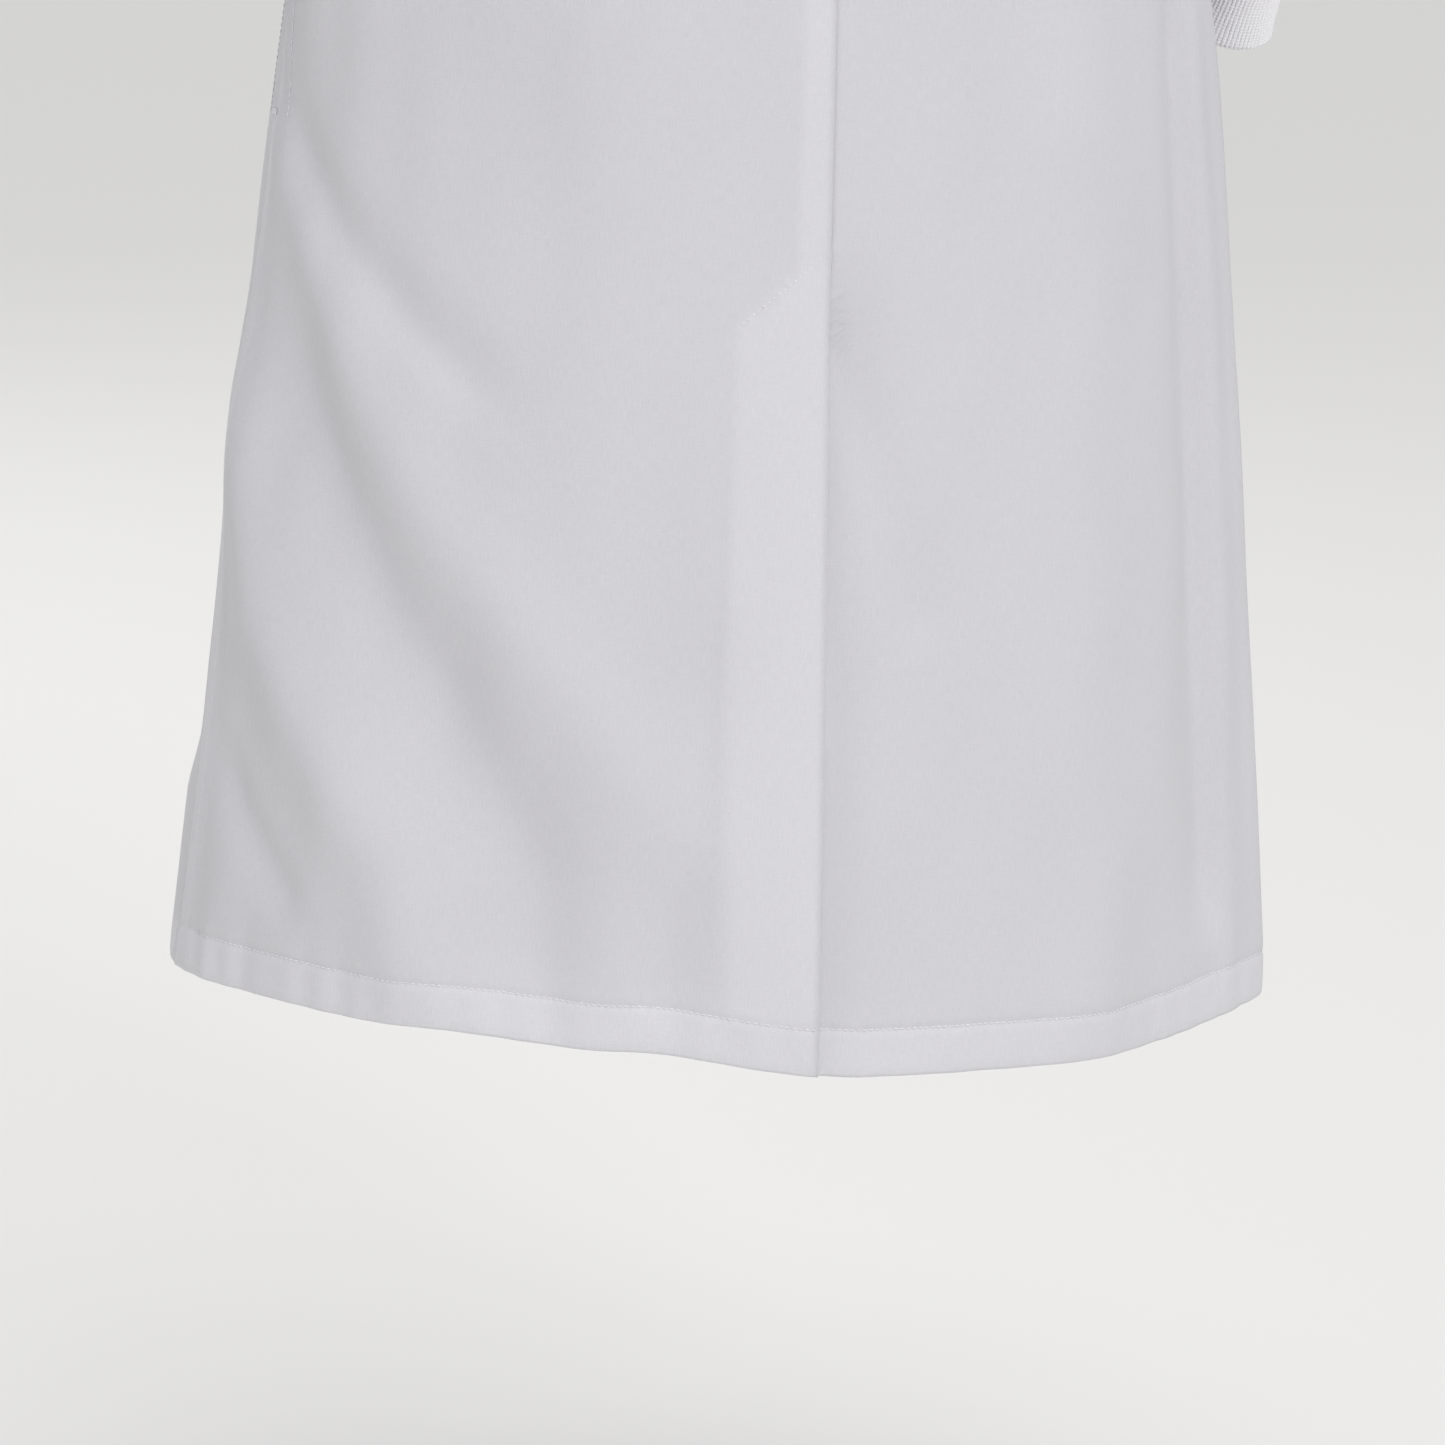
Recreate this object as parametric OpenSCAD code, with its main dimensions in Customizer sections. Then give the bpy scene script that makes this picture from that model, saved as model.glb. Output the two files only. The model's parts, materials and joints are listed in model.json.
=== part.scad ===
// Knee-length lab coat with knit cuffs, hanging as it is worn.
// The origin is the middle of the neck at the height of the back neck seam.
// The back faces +Y, the front -Y, and the wearer's left side is +X.

/* [Body] */
// Length down the middle of the back, from the neck seam to the hem
coat_len = 1100; // [1080:10:1120]
// Depth of the armpits below the back neck seam
pit_depth = 300; // [295:5:305]
// Half width of the body at the armpits
chest_half_w = 228; // [224:1:230]
// Half depth of the body at the armpits
chest_half_d = 135; // [132:1:138]
// Half width of the body at the hem
hem_half_w = 302; // [296:1:308]
// Half depth of the body at the hem
hem_half_d = 181; // [176:1:186]
// Thickness of one layer of cloth as it is modelled
cloth_t = 1; // [0.8:0.1:1]

/* [Neck and shoulders] */
// Half width of the neck opening at the shoulder seams
neck_x = 80; // [76:1:84]
// Distance of the back neck seam behind the middle of the neck
neck_back_d = 65; // [60:1:68]
// Height of the shoulder seams at the neck above the back neck seam
neck_rise = 22; // [18:1:26]
// Distance of each shoulder point from the middle
tip_x = 222; // [218:1:224]
// Drop of each shoulder seam from the neck to the shoulder point
shoulder_drop = 60; // [54:1:64]
// Angle round the body that each armhole takes from a panel
armhole_cut = 33; // [30:1:35]
// Height of the collar stand at the back
stand_h = 30; // [26:1:34]

/* [Fronts] */
// Distance that each front reaches past the middle
lap = 25; // [22:1:28]
// Depth of the lapel's break point below the back neck seam
break_depth = 350; // [345:5:350]
// Number of press studs
snaps = 5; // [3:1:6]
// Distance between press studs
snap_pitch = 110; // [90:5:112]
// Diameter of a press stud's cap
cap_d = 13; // [12:0.5:15]

/* [Pockets] */
// Height of each lower pocket
pocket_h = 195; // [180:5:200]
// Depth of each lower pocket's mouth below the back neck seam
pocket_top = 575; // [570:5:590]
// How far a pocket's mouth stands open
pocket_gape = 12; // [10:0.5:13]

/* [Back vent and side slits] */
// Depth of the vent's top below the back neck seam
vent_top = 680; // [675:5:685]
// Width of the underlap behind the vent's edge
underlap = 55; // [50:1:58]
// Depth of each side slit's lower end below the back neck seam
slit_low = 610; // [600:5:615]
// Length of each side slit
slit_len = 180; // [170:5:190]
// Width that each edge of a side slit stands back from the seam
slit_gap = 6; // [5:0.5:7]

/* [Sleeves] */
// Forward lean of the right forearm from the vertical
right_bend = 28; // [24:1:32]
// Forward lean of the left forearm from the vertical
left_bend = 62; // [58:1:64]
// Length of each forearm from the elbow to the cuff seam
forearm = 108; // [102:1:114]
// Length of each knit cuff
cuff_len = 52; // [48:1:56]

/* [Hidden] */

pit_z = -pit_depth;
skirt_h = coat_len - pit_depth;
// Half of the gap left between two pieces along a seam
seam = 0.8;
// Row of the break point, where rows run from 0 at the hem to 1 at the armpits
break_row = (coat_len - break_depth) / skirt_h;
// Column of the neck point, as an angle from the middle
neck_q = asin(neck_x / tip_x);
// Offset of the left front where it lies over the right one
over = 6.4;
// Offset of the underlap where it lies behind the left back
under = 4;
// Ends of the line along which each front folds open
fold_x = [286, 189];
// Ends of the line along which the vent's corner folds out
flap_x = [200, 20];
flap_row = 0.5;

function mix(a, b, t) = a + (b - a) * t;
function unit(a) = a / norm(a);
function ease(t) = let (c = min(1, max(0, t))) c * c * (3 - 2 * c);
function row_z(v) = mix(-coat_len, pit_z, v);
function z_row(z) = (z + coat_len) / skirt_h;
function spread(z) = pow(max(0, (pit_z - z) / skirt_h), 0.85);
function half_w(z) = mix(chest_half_w, hem_half_w, spread(z));
function half_d(z) = mix(chest_half_d, hem_half_d, spread(z));
function wide(v) = v <= 1 ? half_w(row_z(v)) : mix(chest_half_w, tip_x, v - 1);
function q_of(x, v) = asin(x / wide(v));

// Height of the shoulder seam or neck seam above column q
function top_z(q) = let (x = tip_x * sin(abs(q)))
  x < neck_x ? neck_rise * pow(x / neck_x, 2)
  : neck_rise - shoulder_drop * (x - neck_x) / (tip_x - neck_x);
function neck_y(q, f) = let (x = tip_x * sin(abs(q)))
  f < 0 || x >= neck_x ? 0 : neck_back_d * sqrt(1 - pow(x / neck_x, 2));
function lean(q, f) = f < 0 ? 0.55 : mix(0.85, 0.5, min(1, tip_x * sin(abs(q)) / neck_x));

// A point of the coat's body: column q in degrees from the middle, row v from
// 0 at the hem through 1 at the armpits to 2 at the shoulders, f 1 back, -1 front
function body(q, v, f) = v <= 1
  ? [wide(v) * sin(q), f * (seam + half_d(row_z(v)) * cos(q)), row_z(v)]
  : let (t = v - 1, y1 = neck_y(q, f), y0 = chest_half_d * cos(q))
    [wide(v) * sin(q),
     f * (seam + y1 + (y0 - y1) * pow(max(0, 1 - pow(t, 3)), lean(q, f))),
     mix(pit_z, top_z(q), t)];
function out_n(q, v, f) = let (v1 = min(v, 1.98), a = body(q + 0.5, v1, f) - body(q - 0.5, v1, f),
  b = body(q, v1 + 0.02, f) - body(q, v1 - 0.02, f)) -f * unit(cross(a, b));
function layer(q, v, f, off) = body(q, v, f) + off * out_n(q, v, f);

// Column where the armhole or the side seam ends a panel
function edge_q(v) = v <= 1 ? 90 : 90 - armhole_cut * 2 * sqrt((v - 1) * max(0, 2 - v));
// Column where the side slit's edge stands back from the seam
function slit_q(v) = let (u = (v - z_row(-slit_low)) / (slit_len / skirt_h))
  u <= 0 || u >= 1 ? 90 : 90 - slit_gap / half_d(row_z(v)) * sin(180 * u) * 180 / PI;
function side_q(v) = min(edge_q(v), slit_q(v));
function roll_x(v) = mix(-lap, neck_x, (v - break_row) / (2 - break_row));
function fold_at(v) = mix(fold_x[0], fold_x[1], v);
function flap_at(v) = mix(flap_x[0], flap_x[1], v / flap_row);
function over_off(q, v) = over * ease((60 - wide(v) * sin(q)) / 30);

ROWS = [for (k = [0:16]) k / 16];
UP = [for (k = [1:8]) 1 + (1 - cos(180 * k / 8)) / 2];
// Shares of a back's width: its columns from the neck point to the side, and all of them
OUTER = [for (i = [0:8]) mix(neck_q / 90, 1, 1 - pow(1 - i / 8, 1.35))];
COLS = concat([for (i = [0:2]) neck_q / 90 * i / 3], OUTER);

// Direction square to a grid of points at one of them
function grid_n(p, i, j, round) = let (r = len(p), c = len(p[0]),
  a = p[min(i + 1, r - 1)][j] - p[max(i - 1, 0)][j],
  b = round ? p[i][(j + 1) % c] - p[i][(j + c - 1) % c]
    : p[i][min(j + 1, c - 1)] - p[i][max(j - 1, 0)]) unit(cross(a, b));

// Closed sheet of the given thickness about a grid of points, in rows of columns.
// A round sheet joins its last column to its first.
module sheet(p, t = cloth_t, round = false, flip = false) {
  r = len(p);
  c = len(p[0]);
  n = r * c;
  w = round ? c : c - 1;
  s = flip ? -1 : 1;
  pts = [for (k = [1, -1], i = [0:r - 1], j = [0:c - 1])
    p[i][j] + k * s * t / 2 * grid_n(p, i, j, round)];
  quads = concat(
    [for (i = [0:r - 2], j = [0:w - 1]) let (m = (j + 1) % c)
      [i * c + j, i * c + m, (i + 1) * c + m, (i + 1) * c + j]],
    [for (i = [0:r - 2], j = [0:w - 1]) let (m = (j + 1) % c)
      [n + i * c + j, n + (i + 1) * c + j, n + (i + 1) * c + m, n + i * c + m]],
    [for (j = [0:w - 1]) let (m = (j + 1) % c) [j, n + j, n + m, m]],
    [for (j = [0:w - 1]) let (m = (j + 1) % c, k = (r - 1) * c) [k + m, n + k + m, n + k + j, k + j]],
    round ? [] : [for (i = [0:r - 2]) [i * c, (i + 1) * c, n + (i + 1) * c, n + i * c]],
    round ? [] : [for (i = [0:r - 2]) let (k = c - 1)
      [n + i * c + k, n + (i + 1) * c + k, (i + 1) * c + k, i * c + k]]);
  tris = [for (q = quads) each [[q[0], q[1], q[2]], [q[0], q[2], q[3]]]];
  polyhedron(pts, [for (q = tris) flip ? [q[2], q[1], q[0]] : q], convexity = 10);
}

// Sheet on the body between two columns given for each row
module panel(rows, cols, q0, q1, f, off, t = cloth_t) {
  sheet([for (i = [0:len(rows) - 1]) [for (s = cols) let (q = mix(q0[i], q1[i], s))
    layer(q, rows[i], f, off(q, rows[i]))]], t, false, f < 0);
}

STEPS = [for (i = [0:8]) i / 8];
LOW = [for (k = [0:15]) k / 15 * (break_row - 0.0025)];
CHEST = concat([break_row, 1], UP);
FLAP = [for (k = [0:8]) k / 8 * (flap_row - 0.0025)];
SIDE = concat([for (k = [0:14]) k / 16], [break_row - 0.002]);
VENT_V = z_row(-vent_top);
LEFT_ROWS = concat([for (k = [0:8]) k / 16], [flap_row + 0.009], [for (k = [9:16]) k / 16], UP);
RIGHT_ROWS = concat([for (k = [0:7]) k / 16], [VENT_V - 0.05, VENT_V],
  [for (k = [9:16]) k / 16], UP);

module back_left() {
  color("white") panel(LEFT_ROWS, COLS,
    [for (v = LEFT_ROWS) v > flap_row ? q_of(0.6, v) : q_of(flap_at(v) + 1, v)],
    [for (v = LEFT_ROWS) side_q(v)], 1, function(q, v) 0);
}

module back_left_flap() {
  color("white") panel(FLAP, STEPS, [for (v = FLAP) q_of(0.6, v)],
    [for (v = FLAP) q_of(flap_at(v) - 1, v)], 1, function(q, v) 0);
}

// The right back runs on behind the vent's edge as the underlap
module back_right() {
  color("white") panel(RIGHT_ROWS, concat([for (i = [0:3]) i / 16], OUTER),
    [for (v = RIGHT_ROWS) q_of(mix(-0.6, underlap, ease((VENT_V - v) / 0.05)), v)],
    [for (v = RIGHT_ROWS) -side_q(v)], 1,
    function(q, v) -under * ease((wide(v) * sin(q) + 32) / 28) * ease((VENT_V + 0.03 - v) / 0.03));
}

module vent_facing() {
  rows = [for (k = [0:8]) mix(0.004, flap_row - 0.02, k / 8)];
  color("whitesmoke") panel(rows, [0, 0.5, 1], [for (v = rows) q_of(1.2, v)],
    [for (v = rows) q_of(min(underlap - 1, flap_at(v) - 4), v)], 1,
    function(q, v) -1.9, 0.8);
}

// Upper front, from the break point to the shoulder seam
module chest(s) {
  panel(CHEST, STEPS, [for (v = CHEST) s * q_of(roll_x(v), v)], [for (v = CHEST) s * side_q(v)],
    -1, function(q, v) s > 0 ? over_off(q, v) : 0);
}
module chest_left() { color("white") chest(1); }
module chest_right() { color("white") chest(-1); }

// Side of the front, from the fold line to the side seam
module side_front(s) {
  panel(SIDE, [0, 0.25, 0.5, 0.75, 1], [for (v = SIDE) s * q_of(fold_at(v) + 1, v)],
    [for (v = SIDE) s * side_q(v)], -1, function(q, v) 0);
}
module side_front_left() { color("white") side_front(1); }
module side_front_right() { color("white") side_front(-1); }

// Distances from the middle of the columns near the front edge
NEAR = [-lap, 2, 30, 37, 45, 53, 60];
function front_pt(x, v, s, off) = let (q = s * q_of(x, v))
  layer(q, v, -1, off + (s > 0 ? over_off(q, v) : 0));

// Lower front, from the front edge to the fold line
module skirt(s) {
  sheet([for (v = LOW) concat([for (x = NEAR) front_pt(x, v, s, 0)],
    [for (k = [1:5]) front_pt(mix(60, fold_at(v) - 1, k / 5), v, s, 0)])], cloth_t, false, s > 0);
}
module skirt_left() { color("white") skirt(1); }
module skirt_right() { color("white") skirt(-1); }

module facing(s) {
  sheet([for (v = LOW) [for (x = NEAR) front_pt(x, v, s, -1.7)]], 0.8, false, s > 0);
}
module facing_left() { color("whitesmoke") facing(1); }
module facing_right() { color("whitesmoke") facing(-1); }

// Row of the seam between collar and lapel, a share a of the way out from the roll line
function gorge(a) = 1.8 - 0.1 * a;

// Turned-out upper end of each front facing
module lapel(s) {
  sheet([for (b = [0:10]) [for (a = [0:5])
    let (v = mix(break_row + 0.008, gorge(a / 5), b / 10), x = roll_x(v),
      q = q_of(x + a / 5 * (3 + 80 * pow(sin(90 * b / 10), 0.9)), v))
    layer(s * q, v, -1, 2.2 + (s > 0 ? over_off(q, v) : 0))]], 0.8, false, s > 0);
}
module lapel_left() { color("white") lapel(1); }
module lapel_right() { color("white") lapel(-1); }

// Base of the collar along the neck seam and roll line, for u from -1 to 1
// through 0 at the middle of the back; k is 0 at the base and 1 at its outer edge
function collar_pt(u, k) = let (a = abs(u), s = sign(u + 0.0001), g = max(0, (a - 0.6) / 0.4),
    v = mix(2, 1.805, g), x = a < 0.6 ? neck_x * sin(90 * a / 0.6) : roll_x(v),
    f = a < 0.6 ? 1 : -1, q0 = a < 0.6 ? asin(x / tip_x) : q_of(x, v),
    q1 = a < 0.6 ? q0 * 1.75 : q0 + mix(0.75 * neck_q, 17, g),
    v1 = a < 0.6 ? 2 - 0.16 * pow(cos(90 * a / 0.6), 0.7) : v - 0.03 * g,
    base = layer(s * q0, min(v, 1.999), f, 5.6), edge = layer(s * q1, v1, f, 7.6 + 2 * g),
    out = unit([edge[0] - base[0], edge[1] - base[1], 0]), h = stand_h * mix(1, 0.12, g),
    top = base + [0, 0, h] + out * 1)
  k == 0 ? base : k == 1 ? mix(base, top, 0.5) : k == 2 ? top : k == 3 ? top + [0, 0, 2.5] + 2.5 * out
  : k == 4 ? top + 5 * out : k == 5 ? mix(top + 5 * out, edge, 0.5) + [0, 0, 4] + 3 * out : edge;

module collar(inset) {
  p = [for (i = [-16:16]) [for (k = [0:6]) collar_pt(i / 16, k)]];
  sheet([for (i = [0:32]) [for (k = [0:6]) p[i][k] + inset * grid_n(p, i, k, false)]], 0.8);
}
module upper_collar() { color("white") collar(0.8); }
module under_collar() { color("whitesmoke") collar(-0.8); }

module neck_facing() {
  rows = [for (k = [0:4]) mix(1.8, 1.95, k / 4)];
  color("whitesmoke") panel(rows, STEPS, [for (v = rows) -0.85 * neck_q], [for (v = rows) 0.85 * neck_q],
    1, function(q, v) -5.6, 0.8);
}

module neck_label() {
  rows = [for (k = [0:2]) mix(1.83, 1.9, k / 2)];
  color("gainsboro") panel(rows, STEPS, [for (v = rows) -0.4 * neck_q], [for (v = rows) 0.4 * neck_q],
    1, function(q, v) -7.6, 0.6);
}

// Narrow loop whose ends lie on the neck facing and whose middle stands clear of it
module hanger_loop() {
  color("white") sheet([for (i = [0:12]) let (u = i / 6 - 1) [for (v = [1.912, 1.944])
    layer(u * 0.5 * neck_q, v, 1, -7.6 - 9 * pow(cos(90 * u), 0.6))]], 1, false, false);
}

// Patch pocket between two columns, standing open at its mouth
module patch(rows, x0, x1, gape, s) {
  sheet([for (v = rows) [for (a = STEPS)
    let (b = (v - rows[0]) / (rows[len(rows) - 1] - rows[0]), q = s * mix(q_of(x0, v), q_of(x1, v), a))
    layer(q, v, -1, 2.2 + gape * pow(sin(180 * a), 0.6) * pow(b, 0.6))]], cloth_t, false, true);
}
function pocket_rows(top, h) = [for (k = [0:8]) z_row(-top - h) + k / 8 * h / skirt_h];
module pocket_left() {
  color("white") patch(pocket_rows(pocket_top, pocket_h), 62, 206, pocket_gape, 1);
}
module pocket_right() {
  color("white") mirror([1, 0, 0]) patch(pocket_rows(pocket_top, pocket_h), 62, 206, pocket_gape, 1);
}
module breast_pocket() {
  color("white") patch([for (k = [0:8]) mix(0.958, 1.27, k / 8)], 74, 164, 10, 1);
}

// Turned strip behind one edge of a side slit
module slit_facing(s, f) {
  rows = [for (k = [0:6]) mix(z_row(-slit_low), z_row(-slit_low + slit_len), k / 6)];
  panel(rows, [0, 0.5, 1], [for (v = rows) s * (slit_q(v) - 7)], [for (v = rows) s * (slit_q(v) - 0.4)],
    f, function(q, v) -2.8, 0.8);
}
module slit_facing_back_left() { color("whitesmoke") slit_facing(1, 1); }
module slit_facing_front_left() { color("whitesmoke") slit_facing(1, -1); }
module slit_facing_back_right() { color("whitesmoke") slit_facing(-1, 1); }
module slit_facing_front_right() { color("whitesmoke") slit_facing(-1, -1); }

// Dense stitches across both ends of each side slit
module bar_tacks() {
  color("white") for (s = [-1, 1], z = [-slit_low - 4, -slit_low + slit_len + 4])
    translate([s * (half_w(z) + 1.4), 0, z]) cube([1, 11, 2.4], center = true);
}

SNAP_Z = [for (i = [0:snaps - 1]) -break_depth - 22 - i * snap_pitch];
function tilt(z) = atan((half_d(z - 5) - half_d(z + 5)) / 10);
// Places its children on the middle of the front, looking out along +Z
module at_snap(z, off) {
  translate([0, -half_d(z) - seam - off, z]) rotate([90 + tilt(z), 0, 0]) children();
}

module snap_caps() {
  color("gainsboro") for (z = SNAP_Z) at_snap(z, over) {
    translate([0, 0, 1.1]) cylinder(h = 1.2, d = cap_d, $fn = 48);
    translate([0, 0, 2.3]) cylinder(h = 0.7, d1 = cap_d, d2 = cap_d - 3, $fn = 48);
    translate([0, 0, -3.4]) cylinder(h = 4.7, d = 3, $fn = 32);
  }
}

module snap_sockets() {
  color("silver") for (z = SNAP_Z) at_snap(z, over - 4.1) difference() {
    cylinder(h = 1.1, d = 11, $fn = 48);
    translate([0, 0, -1]) cylinder(h = 3, d = 4.4, $fn = 32);
  }
}

module snap_studs() {
  color("silver") for (z = SNAP_Z) at_snap(z, 1.1) {
    cylinder(h = 0.5, d = 9, $fn = 48);
    cylinder(h = 1.1, d = 3.8, $fn = 32);
  }
}

module snap_backs() {
  color("silver") for (z = SNAP_Z) at_snap(z, 0) {
    translate([0, 0, -3.4]) cylinder(h = 0.8, d = 11, $fn = 48);
    translate([0, 0, -2.8]) cylinder(h = 4.2, d = 2.4, $fn = 32);
  }
}

// Rings of the upper sleeve: inner and outer points (x, z), half depth, depth of the middle
ARM = [[[234.8, -318], [264, -62], 74, 2], [[240, -346], [304, -122], 74, 6],
  [[246, -372], [338, -218], 68, 14], [[252, -394], [362, -312], 61, 26]];
elbow = [312, 38, -414];
// Shares of the forearm's length and half widths of its rings
FORE = [[0.25, 51, 52], [0.6, 43, 48], [0.9, 34, 41], [0.99, 29, 34]];

function arm_ring(r, a) = let (m = mix(r[0], r[1], (1 - cos(a)) / 2))
  [m[0], r[3] + r[2] * sin(a), m[1]];
function fore_ring(d, w, h, bend, lean, a) = elbow
  + d * [-0.12, -sin(bend), -cos(bend)] + [-w * cos(a), h * sin(a) * cos(lean), -h * sin(a) * sin(lean)];
function head_pt(a) = let (t = (1 - cos(a)) / 2, f = a <= 180 ? 1 : -1)
  body(edge_q(1 + t), 1 + t, f) + [2.4, 0, 0];

// Left sleeve from the armhole to the cuff, with its forearm leaning forward by bend
module sleeve(bend) {
  angles = [for (i = [0:23]) i * 15];
  sheet(concat([[for (a = angles) head_pt(a)]], [for (r = ARM) [for (a = angles) arm_ring(r, a)]],
    [[for (a = angles) fore_ring(0, 57, 56, bend, bend / 2, a)]],
    [for (g = FORE) [for (a = angles) fore_ring(g[0] * forearm, g[1], g[2], bend, bend, a)]]),
    cloth_t, true, true);
}

// Left cuff, a double layer of knit
module cuff(bend) {
  sheet([for (d = [0, 0.3, 0.65, 1]) [for (i = [0:23])
    fore_ring(forearm + 1 + d * cuff_len, 26 - 3 * sin(180 * d), 31 - 3 * sin(180 * d), bend, bend, i * 15)]],
    1.8, true, true);
}

module sleeve_left() { color("white") sleeve(left_bend); }
module sleeve_right() { color("white") mirror([1, 0, 0]) sleeve(right_bend); }
module cuff_left() { color("ghostwhite") cuff(left_bend); }
module cuff_right() { color("ghostwhite") mirror([1, 0, 0]) cuff(right_bend); }

back_left();
back_left_flap();
back_right();
vent_facing();
chest_left();
chest_right();
side_front_left();
side_front_right();
skirt_left();
skirt_right();
facing_left();
facing_right();
lapel_left();
lapel_right();
upper_collar();
under_collar();
neck_facing();
hanger_loop();
neck_label();
pocket_left();
pocket_right();
breast_pocket();
slit_facing_back_left();
slit_facing_front_left();
slit_facing_back_right();
slit_facing_front_right();
bar_tacks();
snap_caps();
snap_sockets();
snap_studs();
snap_backs();
sleeve_left();
sleeve_right();
cuff_left();
cuff_right();
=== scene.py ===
"""Knee-length white lab coat with a back vent, side slits and knit cuffs.

Lengths are in millimetres until they become mesh points, in the CAD part's own frame:
q is a column's angle from the middle (left side positive), v a row from 0 at the hem
through 1 at the armpits to 2 at the shoulders, and f is 1 for the back, -1 for the front.
"""
import json
import math

import bpy
import numpy as np
from mathutils import Matrix, Vector

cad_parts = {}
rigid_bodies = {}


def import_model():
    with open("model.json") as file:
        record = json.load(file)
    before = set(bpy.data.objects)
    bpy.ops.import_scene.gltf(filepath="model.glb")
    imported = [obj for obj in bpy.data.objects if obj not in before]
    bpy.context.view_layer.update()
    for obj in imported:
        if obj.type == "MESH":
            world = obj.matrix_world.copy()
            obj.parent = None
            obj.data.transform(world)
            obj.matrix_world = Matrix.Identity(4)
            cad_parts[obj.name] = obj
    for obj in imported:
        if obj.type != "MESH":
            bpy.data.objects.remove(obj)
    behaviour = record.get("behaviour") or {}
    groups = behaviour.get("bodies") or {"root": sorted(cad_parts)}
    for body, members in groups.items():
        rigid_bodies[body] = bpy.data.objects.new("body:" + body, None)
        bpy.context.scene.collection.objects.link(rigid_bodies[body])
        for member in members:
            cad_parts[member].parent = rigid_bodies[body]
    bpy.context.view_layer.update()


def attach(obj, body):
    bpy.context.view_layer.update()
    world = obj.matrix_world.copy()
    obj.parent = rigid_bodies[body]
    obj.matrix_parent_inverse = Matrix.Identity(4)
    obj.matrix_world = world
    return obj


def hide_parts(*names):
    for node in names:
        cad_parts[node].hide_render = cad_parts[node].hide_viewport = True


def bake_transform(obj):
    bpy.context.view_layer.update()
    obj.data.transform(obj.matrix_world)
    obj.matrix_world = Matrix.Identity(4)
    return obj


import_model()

# ---------------------------------------------------------------- sizes
LEN, PIT = 1100.0, -300.0
SKIRT = LEN + PIT
CHEST_W, CHEST_D, HEM_W, HEM_D = 228.0, 135.0, 302.0, 181.0
NECK_X, NECK_D, NECK_RISE, TIP_X, DROP, ARMHOLE = 80.0, 65.0, 22.0, 222.0, 60.0, 33.0
SEAM, LAP, OVER, UNDER, STAND = 0.8, 25.0, 6.4, 4.0, 30.0
BREAK = 0.9375
VENT_TOP, UNDERLAP, FACING_W = 680.0, 55.0, 51.0
SLIT_LOW, SLIT_LEN, SLIT_GAP = 610.0, 180.0, 6.0
HEM_BAND = 25.0
CLOTH = 0.7
NECK_Q = math.degrees(math.asin(NECK_X / TIP_X))


def mix(a, b, t):
    return a + (b - a) * t


def ease(t):
    c = np.clip(t, 0, 1)
    return c * c * (3 - 2 * c)


def sind(a):
    return np.sin(np.radians(a))


def cosd(a):
    return np.cos(np.radians(a))


def unit(p):
    return p / np.maximum(np.linalg.norm(p, axis=-1, keepdims=True), 1e-9)


# ---------------------------------------------------------------- body of the coat
def row_z(v):
    return mix(-LEN, PIT, v)


def z_row(z):
    return (z + LEN) / SKIRT


def spread(z):
    return np.maximum(0, (PIT - z) / SKIRT) ** 0.85


def wide(v):
    return np.where(v <= 1, mix(CHEST_W, HEM_W, spread(row_z(v))), mix(CHEST_W, TIP_X, v - 1))


def q_of(x, v):
    return np.degrees(np.arcsin(np.clip(x / wide(v), -1, 1)))


def body(q, v, f):
    q, v = np.broadcast_arrays(np.asarray(q, float), np.asarray(v, float))
    t = np.clip(v - 1, 0, 1)
    x = TIP_X * np.abs(sind(q))
    top = np.where(x < NECK_X, NECK_RISE * (x / NECK_X) ** 2,
                   NECK_RISE - DROP * (x - NECK_X) / (TIP_X - NECK_X))
    y1 = 0 if f < 0 else NECK_D * np.sqrt(np.clip(1 - (x / NECK_X) ** 2, 0, 1))
    lean = 0.55 if f < 0 else mix(0.85, 0.5, np.clip(x / NECK_X, 0, 1))
    y0 = CHEST_D * cosd(q)
    up = y1 + (y0 - y1) * np.clip(1 - t ** 3, 0, 1) ** lean
    low = mix(CHEST_D, HEM_D, spread(row_z(v))) * cosd(q)
    return np.stack([wide(v) * sind(q), f * (SEAM + np.where(v <= 1, low, up)),
                     np.where(v <= 1, row_z(v), mix(PIT, top, t))], -1)


def out_n(q, v, f):
    v1 = np.minimum(v, 1.98)
    a = body(q + 0.5, v1, f) - body(q - 0.5, v1, f)
    b = body(q, v1 + 0.02, f) - body(q, v1 - 0.02, f)
    return -f * unit(np.cross(a, b))


# ---------------------------------------------------------------- drape and folds
# How the hanging cloth departs from the smooth body: outward and upward at
# angles round the coat, 0 at the middle of the back and 180 at the middle of the front.
# From the side seams round the back the values are a fit's rounded results, not chosen sizes.
ROUND = [-180, -150, -120, -90, -60, -30, -5, 20, 45, 68, 90, 120, 150, 180]
OUTWARD = [0, 0, 8, 16, 16, 16, 14, 0, -4, -4, 5, 4, 0, 0]
UPWARD = [0, 0, 0, 0, -1, -8, -8, 5, 13, 17, 19, 12, 0, 0]


def ring_value(values, a):
    """Smooth periodic curve through values at the ROUND angles."""
    a = (np.asarray(a) + 180) % 360 - 180
    k = np.clip(np.searchsorted(ROUND, a, "right") - 1, 0, len(ROUND) - 2)
    lo, hi = np.take(ROUND, k), np.take(ROUND, k + 1)
    return mix(np.take(values, k), np.take(values, k + 1), ease((a - lo) / (hi - lo)))


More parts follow.
